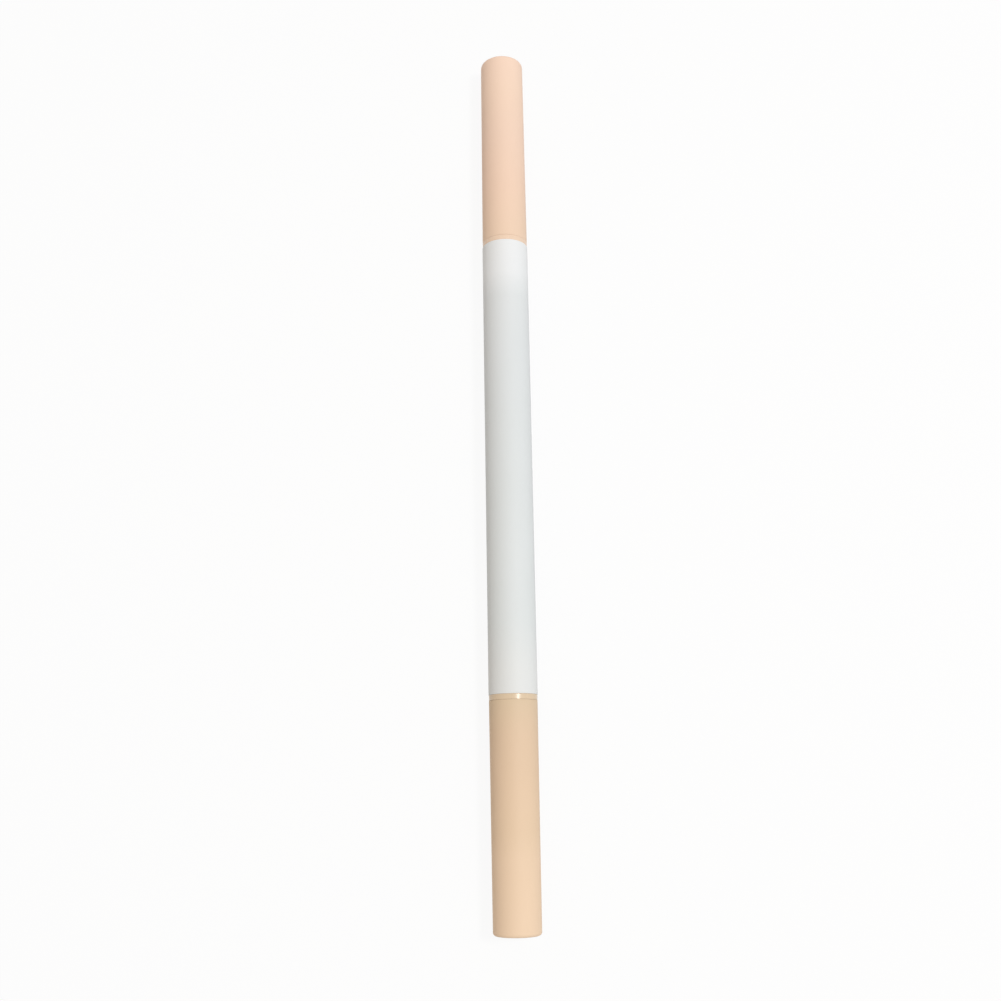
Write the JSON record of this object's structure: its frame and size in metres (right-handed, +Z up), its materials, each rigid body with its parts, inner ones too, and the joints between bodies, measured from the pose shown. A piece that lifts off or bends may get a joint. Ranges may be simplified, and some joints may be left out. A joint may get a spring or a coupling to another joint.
{
  "type": "blending stump",
  "caption": "Slim round blending stump for smudging charcoal, pastel or make-up: a double-pointed rolled-paper stick in a white barrel with a pull-off cap over each point.",
  "frame": {"origin": "on the surface the stick lies on, under the middle of the barrel", "axes": "+Y along the stick towards the rose cap's closed end, +Z up, +X to the right when looking along +Y"},
  "size_m": [0.008, 0.1528, 0.008],
  "materials": {
    "barrel_white": "satin gloss, cool white",
    "rose_plastic": "satin gloss, pinkish beige",
    "tan_plastic": "satin gloss, tan",
    "natural_plastic": "natural, slightly milky",
    "rolled_paper": "soft matt, wound in layers",
    "grip_rubber": "matt black"
  },
  "bodies": {
    "holder": {"barrel": "barrel_white", "paper_stump": "rolled_paper", "centre_spacer": "natural_plastic", "rose_end_bush": "rose_plastic", "tan_end_bush": "tan_plastic", "rose_end_grip_ring": "grip_rubber", "tan_end_grip_ring": "grip_rubber"},
    "rose_cap": {"rose_cap": "rose_plastic", "rose_cap_liner": "natural_plastic"},
    "tan_cap": {"tan_cap": "tan_plastic", "tan_cap_liner": "natural_plastic"}
  },
  "joints": [
    {"name": "rose_cap_pull", "type": "slide", "parent": "holder", "child": "rose_cap", "axis": [0, 1, 0], "range_m": [0, 0.032]},
    {"name": "tan_cap_pull", "type": "slide", "parent": "holder", "child": "tan_cap", "axis": [0, -1, 0], "range_m": [0, 0.032]}
  ]
}
